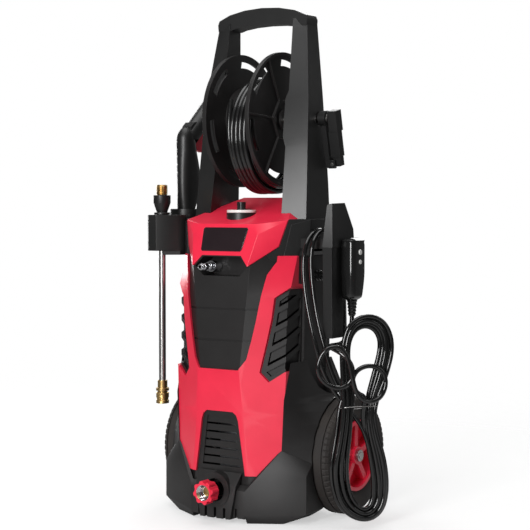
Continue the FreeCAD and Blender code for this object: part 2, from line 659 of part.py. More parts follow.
def gun_parts(parts):
    x, y, z = GUN_X, GUN_Y, GUN_Z
    barrel = gun_barrel()
    grooves = [box(x - 30, x + 4, y - 30, y + 6, level - 1, level + 1) for level in GRIP_GROOVES]
    grooves = fuse(grooves).cut(gun_barrel(0.9))
    parts["gun_barrel_grip"] = cut(barrel, [rod(9, (x, y, 470), 160), grooves])
    pivot = (x - 20, y + TRIGGER_PIVOT[0], z + TRIGGER_PIVOT[1])
    hump = gun_slab([(16, 6), (16, 14), (22, 18.5), (34, 18), (50, 6)], 10)
    slot = gun_slab([(14, -20), (14, 3), (36, 3), (70, -6), (70, -20)], 4.4)
    nose = Part.makeSphere(16.5, V(x, y + 12, z))
    handle = gun_place(cut(fuse([rod(16.5, (x, y + 12, z), 100, "Y"), nose, hump]), [slot]))
    handle = handle.cut(box(x - 30, x + 30, -50, y + 22, 560, 640))
    pin = gun_place(rod(2.5, (x - 10, pivot[1], pivot[2]), 20, "X"))
    parts["gun_handle"] = cut(handle, [barrel, pin])
    parts["gun_trigger_pin"] = pin
    lever = gun_slab([
        (22.5, -4), (31, -4), (34, -12), (53, -18), (52, -25), (45, -32), (22, -42), (14, -30),
        (20, -14)], 3.6)
    parts["gun_trigger"] = gun_place(lever.cut(rod(2.5 + FIT, pivot, 40, "X")))
    muzzle = rod(9, (x, y, 478), 140).cut(rod(4, (x, y, 470), 60))
    nut = gun_place(rod(12.5, (x, y + 112, z), 20, "Y").cut(rod(7, (x, y + 116, z), 30, "Y")))
    parts["gun_valve"] = Part.makeCompound([muzzle, nut])


# ---------------------------------------------------------------- cord hook, plug and cord
HOOK_ARM = (118.0, 172.0, -44.0, 2.0, 452.0, 468.0)


def cord_hook():
    upper = hull([
        (170, -47, 524), (170, -62, 455), (170, 6, 524), (170, 12, 455), (178, -44, 526), (188, -42, 484),
        (188, -60, 455), (182, -10, 527), (188, 8, 484), (188, 12, 455)])
    bar = hull([(x, y, z) for x in (170, 187) for y, z in ((-61, 455), (-20, 455), (-58, 308), (-24, 308))])
    arm = box(*HOOK_ARM)
    slots = [box(169, 190, -23, -8, z, z + 3) for z in (434, 446)]
    return cut(fuse([upper, bar, arm]), [shoulder_outer(), casing_solid(0)] + slots)


def plug_parts(parts):
    x0, x1, y0, y1, z0, z1 = PLUG_X0, PLUG_X1, PLUG_Y0, PLUG_Y1, PLUG_Z0, PLUG_Z1
    body = hull([
        (x0, y0, z0 + 6), (x0, y1, z0 + 6), (x0, y0 + 4, z0), (x0, y1 - 8, z0), (x0, y0, z1), (x0, y1, z1),
        (x1 - 4, y0 + 2, z0), (x1 - 4, y1 - 6, z0), (x1, y0, z0 + 22), (x1, y1 - 2, z0 + 22),
        (x1 - 2, y0, z1 - 3), (x1 - 2, y1, z1 - 3), (x1, y0, z1 - 12), (x1, y1, z1 - 12)])
    middle = (y0 + y1) / 2
    holes = []
    for name, z, r in (("test_button", 447, 4.4), ("reset_button", 431, 3.6)):
        holes.append(rod(r + 0.3, (x1 - 6, middle, z), 10, "X"))
        parts[name] = rod(r, (x1 - 4, middle, z), 5.4, "X")
    parts["plug_body"] = cut(body, holes)
    blades = [box(x0 - 17, x0, -21, -10, z, z + 1.6) for z in (434.7, 446.7)]
    parts["plug_prongs"] = Part.makeCompound(blades)
    relief_at = V(x0 + 12, middle, z0)
    parts["plug_relief"] = Part.makeCone(6.5, 4.5, RELIEF_LENGTH, relief_at, V(0, 0, -1))


GLAND = (109.5, 22.0, 405.0)
# From the gland over the hook's arm and down in front of it to the hank.
LEAD_ROUTE = [
    (126, 22, 405), (137, 22, 405), (149, 22, 409), (158, 22, 418), (163, 21, 431), (165, 19, 448),
    (164, 12, 465), (160, -4, 480), (157, -24, 485), (154, -45, 480), (153, -62, 465), (153, -69, 440),
    (155, -70, 405), (161, -69, 360), (170, -68, 320), (181, -66, 282), (188, -58.5, 248), (203, -48, 214)]
# One loop of the bundle that is hung over the arm.
HOOK_ROUTE = [
    (198, -50, 206), (180, -67, 244), (171, -76, 282), (161, -80, 326), (149, -80, 380), (142, -76, 430),
    (141, -62, 466), (142, -38, 482), (143, -10, 482), (145, 20, 468), (148, 34, 430), (156, 32, 382),
    (168, 14, 330), (180, -6, 284), (196, -20, 244), (210, -26, 208)]
HANK_CENTRE = (235.0, -20.0)
HANK_TURN = math.radians(50)   # the hank's plane is turned this much from the front
HANK_DEPTH = 26.0
# Tail from the hank, as places across, up and in front of the hank's plane.
TAIL_ROUTE = [
    (-12, 216, 13), (-26, 221, 16), (-35, 233, 17.5), (-36, 248, 17.5), (-27, 261, 18), (-9, 267, 19),
    (9, 262, 20), (20, 247, 20), (19, 228, 21), (8, 213, 24), (-9, 208, 28), (-26, 213, 32), (-37, 227, 35),
    (-42, 246, 35), (-45, 266, 34), (-50, 285, 31), (-62, 299, 27), (-79, 298, 24), (-92, 284, 22),
    (-97, 265, 21), (-91, 247, 21), (-77, 235, 22), (-60, 231, 23), (-45, 238, 25), (-38, 253, 26.5),
    (-40, 270, 25), (-51, 284, 19), (-62, 292, 9), (-66, 295, -7), (-61, 296, -21), (-48, 296, -30),
    (-33, 299, -32)]
HANK_OUTSIDE = [
    (10, 195), (36, 250), (46, 298), (32, 340), (-5, 354), (-40, 338), (-55, 295), (-54, 245), (-52, 200),
    (-58, 150), (-71, 95), (-60, 42), (-30, 14), (2, 7), (28, 24), (37, 62), (32, 110), (16, 155)]
HANK_HOLES = [
    [(-16, 238), (-1, 272), (4, 300), (-12, 312), (-27, 298), (-25, 265)],
    [(-21, 150), (-11, 110), (-5, 62), (-10, 40), (-26, 62), (-29, 108)]]


def hank_point(across, up, ahead=0.0):
    x = HANK_CENTRE[0] + across * math.cos(HANK_TURN) + ahead * math.sin(HANK_TURN)
    y = HANK_CENTRE[1] + across * math.sin(HANK_TURN) - ahead * math.cos(HANK_TURN)
    return (x, y, up)


def hank_slab(outline):
    """Smooth closed outline in the hank's plane, given its depth."""
    curve = Part.BSplineCurve()
    curve.interpolate([V(*hank_point(s, z, -HANK_DEPTH / 2)) for s, z in outline], PeriodicFlag=True)
    face = Part.Face(Part.Wire(curve.toShape()))
    return face.extrude(V(math.sin(HANK_TURN), -math.cos(HANK_TURN), 0) * HANK_DEPTH)


def cord_parts(parts):
    parts["cord_gland"] = cone(9, 6, GLAND, LEAD_ROUTE[0][0] - GLAND[0], "X")
    lead = tube(LEAD_ROUTE, CORD_D / 2, "cord_lead")
    loop = tube(HOOK_ROUTE, CORD_D / 2, "cord over the hook")
    parts["cord_lead"] = Part.makeCompound([lead, loop])
    relief_foot = (PLUG_X0 + 12, (PLUG_Y0 + PLUG_Y1) / 2, PLUG_Z0 - RELIEF_LENGTH)
    tail = [hank_point(*p) for p in TAIL_ROUTE] + [(PLUG_X0 + 12, -17, 319), relief_foot]
    parts["cord_tail"] = tube(tail, CORD_D / 2, "cord_tail")
    parts["cord_hank"] = cut(hank_slab(HANK_OUTSIDE), [hank_slab(hole) for hole in HANK_HOLES])


# ---------------------------------------------------------------- inside
def inside_parts(parts):
    motor = fuse([rod(52, (0, -14, 150), 150), rod(40, (0, -14, 300), 22), rod(58, (0, -14, 138), 12)])
    parts["motor"] = motor
    pump = fuse([rod(40, (0, -14, 42), 96), box(-28, 28, -66, -30, 42, 128)])
    parts["pump"] = pump.cut(rod(11, (0, -80, INLET_Z), 20, "Y"))
    parts["pressure_pipe"] = tube([
        (-28, -52, 104), (-46, -52, 104), (-60, -58, 128), (-62, -68, 172), (-61, -70, 232), (-57, -69, 300),
        (-44, -62, 358), (-30, -60, 396), (-30, -60, 418)], 4, "pressure_pipe")


def build():
    parts = {}
    casing_parts(parts)
    parts["base_skirt"] = base_skirt(parts["rear_housing"])
    parts["badge_plate"] = badge_solid(1.5)
    post = upright()
    parts["upright_right"], parts["upright_left"] = post, mirror(post)
    parts["handle_bar"] = handle_bar()
    reel_parts(parts)
    crank_parts(parts)
    wheel_parts(parts)
    inlet_parts(parts)
    parts["outlet_nipple"] = outlet_nipple()
    switch_parts(parts)
    lance_parts(parts)
    parts["lance_holder"] = lance_holder()
    parts["gun_holster"] = gun_holster()
    gun_parts(parts)
    parts["cord_hook"] = cord_hook()
    plug_parts(parts)
    cord_parts(parts)
    inside_parts(parts)
    return parts


def main():
    os.makedirs("parts", exist_ok=True)
    for name, shape in build().items():
        if not shape.isValid() or not shape.Solids:
            print("invalid:", name)
        shape.exportStep(f"parts/{name}.step")


main()
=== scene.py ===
"""Looks of an upright pressure washer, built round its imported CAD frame.

Everything is in metres in the CAD frame: X to the right as seen from the front, the front
faces -Y, Z is up. Most pieces refine a CAD node's own shape. The tyres, hose, cord with its
plug and boots, hank tie, lance thread, coupler sleeve and inlet lining are built here.
"""
import json
import math
import random

import bmesh
import bpy
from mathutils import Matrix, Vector

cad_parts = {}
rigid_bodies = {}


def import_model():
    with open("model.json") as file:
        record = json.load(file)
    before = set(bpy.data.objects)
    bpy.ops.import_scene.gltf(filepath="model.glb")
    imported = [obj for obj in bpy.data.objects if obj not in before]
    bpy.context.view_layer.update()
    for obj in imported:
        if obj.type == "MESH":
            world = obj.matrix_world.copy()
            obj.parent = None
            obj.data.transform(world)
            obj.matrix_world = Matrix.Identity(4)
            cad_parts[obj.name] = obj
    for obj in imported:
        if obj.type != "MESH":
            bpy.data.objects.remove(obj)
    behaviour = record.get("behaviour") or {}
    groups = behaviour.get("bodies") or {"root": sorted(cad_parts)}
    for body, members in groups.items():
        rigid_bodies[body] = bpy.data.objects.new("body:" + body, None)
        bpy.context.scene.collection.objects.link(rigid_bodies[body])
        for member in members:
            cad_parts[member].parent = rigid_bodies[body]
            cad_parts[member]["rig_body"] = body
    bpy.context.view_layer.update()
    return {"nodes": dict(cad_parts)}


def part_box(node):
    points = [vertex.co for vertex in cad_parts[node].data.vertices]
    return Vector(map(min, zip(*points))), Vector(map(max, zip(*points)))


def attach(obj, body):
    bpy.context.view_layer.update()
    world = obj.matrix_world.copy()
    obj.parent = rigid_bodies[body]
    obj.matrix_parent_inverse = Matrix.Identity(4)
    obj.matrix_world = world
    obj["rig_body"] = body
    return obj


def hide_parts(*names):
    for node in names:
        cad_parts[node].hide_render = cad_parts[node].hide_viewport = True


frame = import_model()
NODES = frame["nodes"]
MM = 0.001

AXES = {
    "X": (Vector((1, 0, 0)), Vector((0, 1, 0)), Vector((0, 0, 1))),
    "Y": (Vector((0, 1, 0)), Vector((0, 0, 1)), Vector((1, 0, 0))),
    "Z": (Vector((0, 0, 1)), Vector((1, 0, 0)), Vector((0, 1, 0)))}


# ---------------------------------------------------------------- materials
def add(tree, kind, values=None, **settings):
    """New shader node with its input values and its own settings."""
    made = tree.nodes.new(kind)
    for key, value in settings.items():
        setattr(made, key, value)
    for key, value in (values or {}).items():
        made.inputs[key].default_value = value
    return made


def surface(name, colour, second, rough, grain, depth, patch=0.06, stretch=(1, 1, 1), **shader_values):
    """Material whose colour and roughness drift in patches and whose skin has a fine moulded grain.

    grain and patch are sizes in metres, depth is the grain's height, rough is (low, high).
    """
    material = bpy.data.materials.new(name)
    material.use_nodes = True
    tree = material.node_tree
    shader = tree.nodes["Principled BSDF"]
    for key, value in shader_values.items():
        shader.inputs[key.replace("_", " ").title().replace("Ior", "IOR")].default_value = value
    place = add(tree, "ShaderNodeTexCoord")
    mapping = add(tree, "ShaderNodeMapping", {"Scale": stretch})
    patches = add(tree, "ShaderNodeTexNoise", {"Scale": 1 / patch, "Detail": 4.0, "Roughness": 0.55})
    fine = add(tree, "ShaderNodeTexNoise", {"Scale": 1 / grain, "Detail": 2.0, "Roughness": 0.6})
    ramp = add(tree, "ShaderNodeMapRange", {"From Min": 0.35, "From Max": 0.65})
    mix = add(tree, "ShaderNodeMix", data_type="RGBA")
    mix.inputs["A"].default_value = (*colour, 1)
    mix.inputs["B"].default_value = (*second, 1)
    spread = add(tree, "ShaderNodeMapRange", {"To Min": rough[0], "To Max": rough[1]})
    bump = add(tree, "ShaderNodeBump", {"Strength": 1.0, "Distance": depth})
    link = tree.links.new
    link(place.outputs["Object"], mapping.inputs["Vector"])
    link(mapping.outputs["Vector"], patches.inputs["Vector"])
    link(mapping.outputs["Vector"], fine.inputs["Vector"])
    link(patches.outputs["Fac"], ramp.inputs["Value"])
    link(ramp.outputs["Result"], mix.inputs["Factor"])
    link(mix.outputs["Result"], shader.inputs["Base Color"])
    link(fine.outputs["Fac"], spread.inputs["Value"])
    link(spread.outputs["Result"], shader.inputs["Roughness"])
    link(fine.outputs["Fac"], bump.inputs["Height"])
    link(bump.outputs["Normal"], shader.inputs["Normal"])
    return material


def make_materials():
    """Looks by name: (colour, second colour, roughness range, grain, depth) and shader settings."""
    red = {"specular_ior_level": 0.45, "coat_weight": 0.2, "coat_roughness": 0.15}
    glossy = {"coat_weight": 0.4, "coat_roughness": 0.08}
    metal = {"metallic": 1.0}
    looks = {
        "red": ((0.80, 0.022, 0.060), (0.74, 0.018, 0.052), (0.30, 0.40), 0.0009, 0.00002, red),
        "panel": ((0.008, 0.0070, 0.0070), (0.011, 0.010, 0.010), (0.38, 0.50), 0.0007, 0.00004, {}),
        "frame": ((0.012, 0.012, 0.012), (0.016, 0.016, 0.016), (0.32, 0.42), 0.0008, 0.00003, {}),
        "housing": ((0.009, 0.008, 0.008), (0.013, 0.012, 0.012), (0.42, 0.56), 0.0010, 0.00008, {}),
        "grip": ((0.006, 0.006, 0.006), (0.009, 0.009, 0.009), (0.34, 0.46), 0.0006, 0.00004, {}),
        "gloss": ((0.004, 0.004, 0.004), (0.006, 0.006, 0.006), (0.14, 0.20), 0.0006, 0.000008, glossy),
        "badge": ((0.012, 0.006, 0.008), (0.016, 0.009, 0.011), (0.16, 0.24), 0.0005, 0.000005, glossy),
        "white": ((0.80, 0.80, 0.78), (0.74, 0.74, 0.72), (0.36, 0.46), 0.0006, 0.00002, {}),
        "rubber": ((0.016, 0.013, 0.012), (0.026, 0.021, 0.018), (0.62, 0.82), 0.0007, 0.00010, {}),
        "sheath": ((0.003, 0.003, 0.003), (0.005, 0.005, 0.005), (0.10, 0.18), 0.0009, 0.00001, glossy),
        "hose": ((0.005, 0.005, 0.005), (0.008, 0.008, 0.008), (0.18, 0.28), 0.0008, 0.00002, glossy),
        "brass": ((0.62, 0.42, 0.17), (0.48, 0.31, 0.12), (0.22, 0.38), 0.0010, 0.00002, metal),
        "steel": ((0.50, 0.49, 0.48), (0.40, 0.39, 0.38), (0.22, 0.36), 0.0010, 0.00001, metal),
        "chrome": ((0.84, 0.84, 0.86), (0.76, 0.76, 0.78), (0.05, 0.12), 0.0020, 0.000005, metal),
        "cast": ((0.36, 0.36, 0.37), (0.28, 0.28, 0.29), (0.45, 0.65), 0.0012, 0.00010, metal)}
    brushed = {"steel": (6, 6, 0.25)}
    made = {}
    for name, (colour, second, rough, grain, depth, settings) in looks.items():
        stretch = brushed.get(name, (1, 1, 1))
        made[name] = surface(name, colour, second, rough, grain, depth, stretch=stretch, **settings)
    return made


MATERIALS = make_materials()


# ---------------------------------------------------------------- making pieces
def finish_piece(piece, look, body):
    piece.data.materials.clear()
    piece.data.materials.append(MATERIALS[look])
    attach(piece, body)
    return piece


def mesh_piece(name, vertices, faces, look, body, sharp=30):
    mesh = bpy.data.meshes.new(name)
    mesh.from_pydata([tuple(v) for v in vertices], [], faces)
    mesh.validate()
    tidy = bmesh.new()
    tidy.from_mesh(mesh)
    bmesh.ops.recalc_face_normals(tidy, faces=tidy.faces)
    tidy.to_mesh(mesh)
    tidy.free()
    mesh.shade_smooth()
    mesh.set_sharp_from_angle(angle=math.radians(sharp))
    piece = bpy.data.objects.new(name, mesh)
    bpy.context.scene.collection.objects.link(piece)
    return finish_piece(piece, look, body)


EDGE_ANGLE = math.radians(32)      # edges sharper than this are rounded
EDGE_STEPS = 3
FLAT_ANGLE = math.radians(0.6)     # faces nearer to one plane than this are joined up


def round_edges(piece, width):
    bevel = piece.modifiers.new("rounded edges", "BEVEL")
    bevel.width = width
    bevel.segments = EDGE_STEPS
    bevel.limit_method = "ANGLE"
    bevel.angle_limit = EDGE_ANGLE
    bevel.harden_normals = True


def refine(node, look, width):
    """New piece from a CAD node's shape: flat faces joined up, every hard edge rounded."""
    body = NODES[node]["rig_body"]
    work = bmesh.new()
    work.from_mesh(NODES[node].data)
    bmesh.ops.remove_doubles(work, verts=work.verts, dist=2e-6)
    bmesh.ops.dissolve_limit(work, angle_limit=FLAT_ANGLE, verts=work.verts, edges=work.edges)
    bmesh.ops.recalc_face_normals(work, faces=work.faces)
    work.verts.index_update()
    vertices = [v.co.copy() for v in work.verts]
    faces = [[v.index for v in f.verts] for f in work.faces]
    work.free()
    piece = mesh_piece(f"{node}_finished", vertices, faces, look, body)
    if width:
        round_edges(piece, width)
    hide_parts(node)
    return piece


def turned_point(centre, axis, place, radius, turn):
    """Point at a place along an axis through centre, at a radius and an angle round it."""
    along, side, up = AXES[axis]
    return centre + along * place + side * (radius * math.cos(turn)) + up * (radius * math.sin(turn))


def turned(name, centre, axis, rows, look, body, segments=48, shape=None, sharp=30):
    """Solid of revolution. rows are (place along the axis, radius); shape(turn, row) changes a radius."""
    vertices = []
    for row, (place, radius) in enumerate(rows):
        for i in range(segments):
            turn = 2 * math.pi * i / segments
            r = radius + (shape(turn, row) if shape else 0.0)
            vertices.append(turned_point(centre, axis, place, r, turn))
    faces = []
    for row in range(len(rows) - 1):
        for i in range(segments):
            j = (i + 1) % segments
            a, b = row * segments, (row + 1) * segments
            faces.append([a + i, a + j, b + j, b + i])
    faces.append(list(range(segments))[::-1])
    last = (len(rows) - 1) * segments
    faces.append([last + i for i in range(segments)])
    return mesh_piece(name, vertices, faces, look, body, sharp)


def tube_ring(name, centre, axis, loop, look, body, segments, shape=None, sharp=30):
    """Closed ring of revolution from a closed loop of (place along the axis, radius)."""
    vertices = []
    for i in range(segments):
        turn = 2 * math.pi * i / segments
        for k, (place, radius) in enumerate(loop):
            r = radius + (shape(i, k) if shape else 0.0)
            vertices.append(turned_point(centre, axis, place, r, turn))
    n = len(loop)
    faces = []
    for i in range(segments):
        j = (i + 1) % segments
        for k in range(n):
            m = (k + 1) % n
            faces.append([i * n + k, i * n + m, j * n + m, j * n + k])
    return mesh_piece(name, vertices, faces, look, body, sharp)


def spline_piece(name, points, radius, look, body, smooth=6, sides=4):
    """Round cord along one smooth open NURBS spline."""
    curve = bpy.data.curves.new(name, "CURVE")
    curve.dimensions = "3D"
    spline = curve.splines.new("NURBS")
    spline.points.add(len(points) - 1)
    for control, point in zip(spline.points, points):
        control.co = (*point, 1)
    spline.order_u = 3
    spline.use_endpoint_u = True
    spline.resolution_u = smooth
    curve.bevel_depth = radius
    curve.bevel_resolution = sides
    curve.use_fill_caps = True
    piece = bpy.data.objects.new(name, curve)
    bpy.context.scene.collection.objects.link(piece)
    return finish_piece(piece, look, body)


def middle(node):
    low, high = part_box(node)
    return (low + high) / 2


# ---------------------------------------------------------------- camera, light and floor
CAMERA_PLACE = (1.3659, -2.0555, 0.529)
CAMERA_AZIMUTH, CAMERA_PITCH = math.radians(33.23), math.radians(2.52)
CAMERA_LENS, CAMERA_SENSOR = 97.9, 36.0     # millimetres
BODY_MIDDLE = (0, 0, 0.42)
# Name, place, target, size and power of each light.
LIGHTS = [
    ("front light", (0.42, -2.7, 1.05), (0, 0, 0.5), (0.8, 1.7), 72),
    ("left light", (-2.3, 1.4, 1.0), BODY_MIDDLE, (1.1, 1.7), 34),
    ("right light", (2.4, 0.9, 1.5), BODY_MIDDLE, (0.5, 1.4), 4),
    ("top light", (0.0, -0.2, 2.9), BODY_MIDDLE, (2.6, 2.6), 50),
    ("back light", (-0.6, 2.4, 1.8), BODY_MIDDLE, (1.6, 1.2), 26)]
WORLD_LIGHT, BACKDROP_LIGHT = 0.12, 1.0
FLOOR_REACH, FLOOR_SIDES = 2.2, 96
FLOOR_FADE = {"From Min": 0.35, "From Max": 1.8, "To Min": 0.5}


def make_camera():
    camera = bpy.data.objects.new("camera", bpy.data.cameras.new("camera"))
    bpy.context.scene.collection.objects.link(camera)
    bpy.context.scene.camera = camera
    flat = math.cos(CAMERA_PITCH)
    across, ahead = -math.sin(CAMERA_AZIMUTH) * flat, math.cos(CAMERA_AZIMUTH) * flat
    look = Vector((across, ahead, -math.sin(CAMERA_PITCH)))
    camera.location = CAMERA_PLACE
    camera.rotation_euler = look.to_track_quat("-Z", "Y").to_euler()
    camera.data.sensor_width = CAMERA_SENSOR
    camera.data.lens = CAMERA_LENS
    camera.data.clip_start = 0.05
    camera.data.clip_end = 100.0


def area_light(name, place, target, size, power):
    light = bpy.data.lights.new(name, "AREA")
    light.shape = "RECTANGLE"
    light.size, light.size_y = size
    light.energy = power
    lamp = bpy.data.objects.new(name, light)
    lamp.location = place
    lamp.rotation_euler = (Vector(target) - Vector(place)).to_track_quat("-Z", "Y").to_euler()
    bpy.context.scene.collection.objects.link(lamp)


def make_studio():
    """Tall softbox in front, four weaker fills, and a dim world behind a white backdrop."""
    for name, place, target, size, power in LIGHTS:
        area_light(name, place, target, size, power)
    world = bpy.data.worlds.new("studio")
    bpy.context.scene.world = world
    world.use_nodes = True
    tree = world.node_tree
    soft = tree.nodes["Background"]
    soft.inputs["Color"].default_value = (1.0, 1.0, 1.0, 1)
    soft.inputs["Strength"].default_value = WORLD_LIGHT
    white = {"Color": (1.0, 1.0, 1.0, 1), "Strength": BACKDROP_LIGHT}
    backdrop = add(tree, "ShaderNodeBackground", white)
    path = add(tree, "ShaderNodeLightPath")
    choose = add(tree, "ShaderNodeMixShader")
    tree.links.new(path.outputs["Is Camera Ray"], choose.inputs["Fac"])
    tree.links.new(soft.outputs["Background"], choose.inputs[1])
    tree.links.new(backdrop.outputs["Background"], choose.inputs[2])
    tree.links.new(choose.outputs["Shader"], tree.nodes["World Output"].inputs["Surface"])
    bpy.context.scene.view_settings.view_transform = "Standard"


def make_floor():
    """Pale disc that fades out into the backdrop."""
    mesh = bpy.data.meshes.new("floor")
    rim = []
    for i in range(FLOOR_SIDES):
        turn = 2 * math.pi * i / FLOOR_SIDES
        rim.append((FLOOR_REACH * math.cos(turn), FLOOR_REACH * math.sin(turn), 0))
    mesh.from_pydata(rim, [], [list(range(FLOOR_SIDES))])
    floor = bpy.data.objects.new("floor", mesh)
    bpy.context.scene.collection.objects.link(floor)
    material = surface("pale floor", (0.93, 0.93, 0.93), (0.92, 0.92, 0.92), (0.55, 0.65), 0.004, 0.00001,
                       patch=0.5)
    tree = material.node_tree
    place = add(tree, "ShaderNodeTexCoord")
    distance = add(tree, "ShaderNodeVectorMath", operation="LENGTH")
    fade = add(tree, "ShaderNodeMapRange", FLOOR_FADE, interpolation_type="SMOOTHSTEP")
    clear = add(tree, "ShaderNodeBsdfTransparent")
    choose = add(tree, "ShaderNodeMixShader")
    tree.links.new(place.outputs["Object"], distance.inputs[0])
    tree.links.new(distance.outputs["Value"], fade.inputs["Value"])
    tree.links.new(fade.outputs["Result"], choose.inputs["Fac"])
    tree.links.new(tree.nodes["Principled BSDF"].outputs["BSDF"], choose.inputs[1])
    tree.links.new(clear.outputs["BSDF"], choose.inputs[2])
    tree.links.new(choose.outputs["Shader"], tree.nodes["Material Output"].inputs["Surface"])
    mesh.materials.append(material)


# ---------------------------------------------------------------- mains cord
CORD_D = 0.0075
GLAND = Vector((0.1095, 0.022, 0.405))
LEAD_ROUTE = [
    (0.116, 0.022, 0.405), (0.126, 0.022, 0.405), (0.137, 0.022, 0.405), (0.149, 0.022, 0.409),
    (0.158, 0.022, 0.418), (0.163, 0.021, 0.431), (0.165, 0.019, 0.448), (0.164, 0.012, 0.465),
    (0.160, -0.004, 0.480), (0.157, -0.024, 0.485), (0.154, -0.045, 0.480), (0.153, -0.062, 0.465),
    (0.153, -0.069, 0.440), (0.155, -0.070, 0.405), (0.161, -0.069, 0.360), (0.170, -0.068, 0.320),
    (0.181, -0.066, 0.282), (0.188, -0.0585, 0.248), (0.203, -0.048, 0.214)]
HOOK_ROUTE = [
    (0.198, -0.050, 0.206), (0.180, -0.067, 0.244), (0.171, -0.076, 0.282), (0.161, -0.080, 0.326),
    (0.149, -0.080, 0.380), (0.142, -0.076, 0.430), (0.141, -0.062, 0.466), (0.142, -0.038, 0.482),
    (0.143, -0.010, 0.482), (0.145, 0.020, 0.468), (0.148, 0.034, 0.430), (0.156, 0.032, 0.382),
    (0.168, 0.014, 0.330), (0.180, -0.006, 0.284), (0.196, -0.020, 0.244), (0.210, -0.026, 0.208)]
# Places in the hank's own plane: across it, up, and in front of it.
TAIL_ROUTE = [
    (-0.012, 0.216, 0.013), (-0.026, 0.221, 0.016), (-0.035, 0.233, 0.0175), (-0.036, 0.248, 0.0175),
    (-0.027, 0.261, 0.018), (-0.009, 0.267, 0.019), (0.009, 0.262, 0.020), (0.020, 0.247, 0.020),
    (0.019, 0.228, 0.021), (0.008, 0.213, 0.024), (-0.009, 0.208, 0.028), (-0.026, 0.213, 0.032),
    (-0.037, 0.227, 0.035), (-0.042, 0.246, 0.035), (-0.045, 0.266, 0.034), (-0.050, 0.285, 0.031),
    (-0.062, 0.299, 0.027), (-0.079, 0.298, 0.024), (-0.092, 0.284, 0.022), (-0.097, 0.265, 0.021),
    (-0.091, 0.247, 0.021), (-0.077, 0.235, 0.022), (-0.060, 0.231, 0.023), (-0.045, 0.238, 0.025),
    (-0.038, 0.253, 0.0265), (-0.040, 0.270, 0.025), (-0.051, 0.284, 0.019), (-0.062, 0.292, 0.009),
    (-0.066, 0.295, -0.007), (-0.061, 0.296, -0.021), (-0.048, 0.296, -0.030), (-0.033, 0.299, -0.032)]
PLUG_FOOT = [(0.200, -0.017, 0.319), (0.200, -0.017, 0.345)]
HANK_CENTRE = Vector((0.235, -0.020, 0.0))
HANK_TURN = math.radians(50)
# Outline of the hank and of its hollow, matched point by point from the left waist downwards.
HANK_EDGES = [
    ((-0.052, 0.200), (-0.024, 0.202)), ((-0.058, 0.150), (-0.026, 0.152)),
    ((-0.071, 0.095), (-0.030, 0.098)), ((-0.060, 0.042), (-0.025, 0.058)),
    ((-0.030, 0.014), (-0.014, 0.040)), ((0.002, 0.007), (-0.007, 0.038)),
    ((0.028, 0.024), (-0.004, 0.048)), ((0.037, 0.062), (-0.004, 0.070)),
    ((0.032, 0.110), (-0.009, 0.110)), ((0.016, 0.155), (-0.016, 0.152)),
    ((0.010, 0.195), (-0.018, 0.198)), ((0.036, 0.250), (-0.004, 0.262)),
    ((0.046, 0.298), (0.005, 0.298)), ((0.032, 0.340), (-0.001, 0.312)),
    ((-0.005, 0.354), (-0.011, 0.318)), ((-0.040, 0.338), (-0.024, 0.311)),
    ((-0.055, 0.295), (-0.030, 0.292)), ((-0.054, 0.245), (-0.025, 0.250))]
HANK_FULL_TURNS = 5
# How far in front of the hank's plane each full turn starts, and where the last one ends.
HANK_LAYERS = (-0.0055, 0.0060, -0.0050, 0.0055, -0.0045, 0.0)
HANK_SHARE, HANK_SHARE_STEP = 0.08, 0.120  # share at the start, and what each full turn adds
HANK_WANDER = 0.02                         # most that a point strays from its share
LOWER_HALF = 10            # points of an outline from the left waist round the foot to the right waist
# The half turns before and after the hook: share, and how far in front of the hank's plane.
HALF_BEFORE_HOOK, HALF_AFTER_HOOK = (0.72, 0.001), (0.62, -0.0085)
WAIST_BEFORE_HOOK, WAIST_AFTER_HOOK = (-0.020, 0.178, -0.006), (-0.015, 0.180, 0.004)


def in_hank(across, up, ahead):
    """Point of the hank's plane in the frame."""
    side = Vector((math.cos(HANK_TURN), math.sin(HANK_TURN), 0))
    front = Vector((math.sin(HANK_TURN), -math.cos(HANK_TURN), 0))
    return HANK_CENTRE + side * across + front * ahead + Vector((0, 0, up))


def hank_strand(share, index, ahead):
    """Point of one strand; share is 0 at the hank's outside and 1 at its hollow."""
    (s0, z0), (s1, z1) = HANK_EDGES[index]
    return in_hank(s0 + (s1 - s0) * share, z0 + (z1 - z0) * share, ahead)


def hank_turns():
    """Full turns, each nearer to the hollow than the one before."""
    rng = random.Random(11)
    count = len(HANK_EDGES)
    points = []
    for step in range(HANK_FULL_TURNS * count):
        turn, index = divmod(step, count)
        share = HANK_SHARE + HANK_SHARE_STEP * step / count + rng.uniform(-HANK_WANDER, HANK_WANDER)
        blend = index / count
        ahead = HANK_LAYERS[turn] * (1 - blend) + HANK_LAYERS[turn + 1] * blend
        points.append(hank_strand(share, index, ahead))
    return points


def cord_points():
    """Lead, full turns, a half turn, loop over the hook, a half turn, tail and the plug's foot."""
    share, ahead = HALF_BEFORE_HOOK
    points = [Vector(p) for p in LEAD_ROUTE] + hank_turns()
    points += [hank_strand(share, i, ahead) for i in range(LOWER_HALF)]
    points += [in_hank(*WAIST_BEFORE_HOOK)]
    share, ahead = HALF_AFTER_HOOK
    points += [Vector(p) for p in HOOK_ROUTE]
    points += [hank_strand(share, i, ahead) for i in range(1, LOWER_HALF)]
    points += [in_hank(*WAIST_AFTER_HOOK)]
    points += [in_hank(*p) for p in TAIL_ROUTE] + [Vector(p) for p in PLUG_FOOT]
    return points


